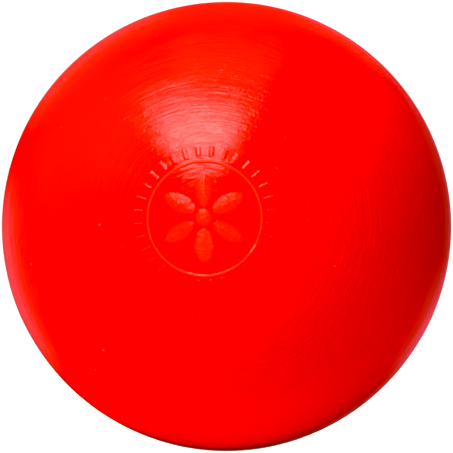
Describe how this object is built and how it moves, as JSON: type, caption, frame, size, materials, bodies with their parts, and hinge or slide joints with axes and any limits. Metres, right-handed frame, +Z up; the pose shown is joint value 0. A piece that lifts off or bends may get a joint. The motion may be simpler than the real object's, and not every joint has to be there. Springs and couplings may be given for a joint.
{
  "type": "massage ball",
  "caption": "Solid-feel massage ball: moulded PVC half covers welded round the equator over rubber cushion cups and a cork core, with a ringed rosette in low relief.",
  "frame": {"origin": "centre of the ball", "axes": "-Y out through the middle of the emblem, +Y out through the gate mark of the rear cover, +Z up; the cover's seam lies in the plane Y = 0"},
  "size_m": [0.065, 0.0653, 0.065],
  "materials": {
    "cover_pvc": "moulded red PVC, satin to semi-gloss, with fine concentric turning marks",
    "weld_pvc": "red PVC weld bead, trimmed flush and lightly polished",
    "cushion_rubber": "moulded black rubber, matt",
    "core_cork": "bonded cork and rubber granules, matt"
  },
  "bodies": {
    "root": {"front_cover": "cover_pvc", "rear_cover": "cover_pvc", "seam_weld": "weld_pvc", "upper_cushion": "cushion_rubber", "lower_cushion": "cushion_rubber", "cork_core": "core_cork"}
  },
  "joints": []
}
